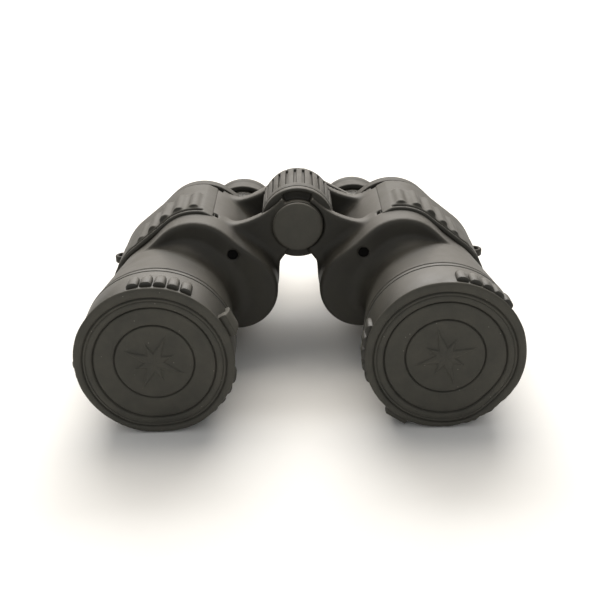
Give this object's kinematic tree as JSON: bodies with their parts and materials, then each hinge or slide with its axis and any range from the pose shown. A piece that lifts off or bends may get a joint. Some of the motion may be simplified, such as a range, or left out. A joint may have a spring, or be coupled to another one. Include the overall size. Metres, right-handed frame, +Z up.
{
  "type": "binoculars",
  "caption": "Porro-prism binoculars with covered objectives, rubber armour, centre hinge, ridged focus wheel and a sliding pair of eyepieces",
  "frame": {"origin": "bottom centre of the bounding box: the point under the middle of the instrument, on the surface that the lens caps stand on", "axes": "+Z up with the hinge on top; +Y along the optical axes toward the eyepieces, objectives face -Y; +X toward the user's left half"},
  "size_m": [0.1934, 0.176, 0.0842],
  "materials": {
    "housing": "fine moulded grain, dark warm grey",
    "armour": "matt rubber with fine grain and ribs",
    "cover": "fine moulded grain, dark warm grey",
    "grip_rubber": "matt rubber with scallop bumps",
    "cap_rubber": "soft matt rubber, slightly dusty",
    "black_aluminium": "black anodised",
    "coated_glass": "clear with a faint coating tint",
    "prism_glass": "clear polished prism",
    "spring_steel": "plain steel",
    "screw_steel": "blackened steel",
    "barrel_plastic": "matt, ribbed",
    "eyecup_rubber": "soft matt rubber",
    "bridge_metal": "satin black paint",
    "brass": "turned brass",
    "hinge_cap": "matt moulded disc",
    "wheel_plastic": "matt rubber-covered wheel"
  },
  "bodies": {
    "right_half": {"right_body": "housing", "right_armour": "armour", "right_rear_cover": "cover", "right_cover_screws": "screw_steel", "right_objective_ring": "grip_rubber", "right_objective_cell": "black_aluminium", "right_lens_retainer": "black_aluminium", "right_crown_lens": "coated_glass", "right_flint_lens": "coated_glass", "right_prism_plate": "black_aluminium", "right_adjuster_screw": "screw_steel", "right_rear_prism": "prism_glass", "right_rear_clip": "spring_steel", "right_front_prism": "prism_glass", "right_front_clip": "spring_steel", "right_ocular_guide": "black_aluminium", "hinge_axle": "spring_steel", "tripod_socket": "brass", "front_washer": "brass", "rear_washer": "brass", "hinge_nut": "black_aluminium"},
    "left_half": {"left_body": "housing", "left_armour": "armour", "left_rear_cover": "cover", "left_cover_screws": "screw_steel", "left_objective_ring": "grip_rubber", "left_objective_cell": "black_aluminium", "left_lens_retainer": "black_aluminium", "left_crown_lens": "coated_glass", "left_flint_lens": "coated_glass", "left_prism_plate": "black_aluminium", "left_adjuster_screw": "screw_steel", "left_rear_prism": "prism_glass", "left_rear_clip": "spring_steel", "left_front_prism": "prism_glass", "left_front_clip": "spring_steel", "left_ocular_guide": "black_aluminium"},
    "focus_wheel": {"focus_wheel": "wheel_plastic"},
    "right_ocular": {"right_ocular_arm": "bridge_metal", "focus_spindle": "spring_steel", "bridge_hub": "bridge_metal", "bridge_screw": "screw_steel"},
    "right_optics": {"right_ocular_barrel": "barrel_plastic", "right_field_lens": "coated_glass", "right_ocular_spacer": "black_aluminium", "right_eye_lens": "coated_glass", "right_eyecup": "eyecup_rubber"},
    "diopter_ring": {"right_diopter_ring": "wheel_plastic"},
    "left_ocular": {"left_ocular_barrel": "barrel_plastic", "left_field_lens": "coated_glass", "left_ocular_spacer": "black_aluminium", "left_eye_lens": "coated_glass", "left_eyecup": "eyecup_rubber", "left_ocular_arm": "bridge_metal"},
    "right_cap": {"right_lens_cap": "cap_rubber"},
    "left_cap": {"left_lens_cap": "cap_rubber"},
    "hinge_plug": {"hinge_cap": "hinge_cap"}
  },
  "joints": [
    {"name": "centre_hinge", "type": "hinge", "parent": "right_half", "child": "left_half", "pos_m": [0, 0, 0.067], "axis": [0, 1, 0], "range_deg": [-30, 12]},
    {"name": "focus_turn", "type": "hinge", "parent": "right_half", "child": "focus_wheel", "pos_m": [0, 0, 0.067], "axis": [0, 1, 0], "range_deg": [-150, 200]},
    {"name": "right_focus_slide", "type": "slide", "parent": "right_half", "child": "right_ocular", "axis": [0, 1, 0], "range_m": [-0.0039, 0.0052]},
    {"name": "left_focus_slide", "type": "slide", "parent": "left_half", "child": "left_ocular", "axis": [0, 1, 0], "range_m": [-0.0041, 0.0054]},
    {"name": "diopter_turn", "type": "hinge", "parent": "right_ocular", "child": "diopter_ring", "pos_m": [-0.0305, 0, 0.042], "axis": [0, 1, 0], "range_deg": [-47, 47]},
    {"name": "diopter_slide", "type": "slide", "parent": "right_ocular", "child": "right_optics", "axis": [0, 1, 0], "range_m": [-0.0015, 0.0015]},
    {"name": "right_cap_pull", "type": "slide", "parent": "right_half", "child": "right_cap", "axis": [0, -1, 0], "range_m": [0, 0.03]},
    {"name": "left_cap_pull", "type": "slide", "parent": "left_half", "child": "left_cap", "axis": [0, -1, 0], "range_m": [0, 0.03]},
    {"name": "hinge_plug_pull", "type": "slide", "parent": "right_half", "child": "hinge_plug", "axis": [0, -1, 0], "range_m": [0, 0.04]}
  ],
  "couplings": [
    {"joint": "focus_turn", "follows": "right_focus_slide", "rad_per_m": 666.67},
    {"joint": "left_focus_slide", "follows": "right_focus_slide", "ratio": 1},
    {"joint": "diopter_turn", "follows": "diopter_slide", "rad_per_m": 526.32}
  ]
}
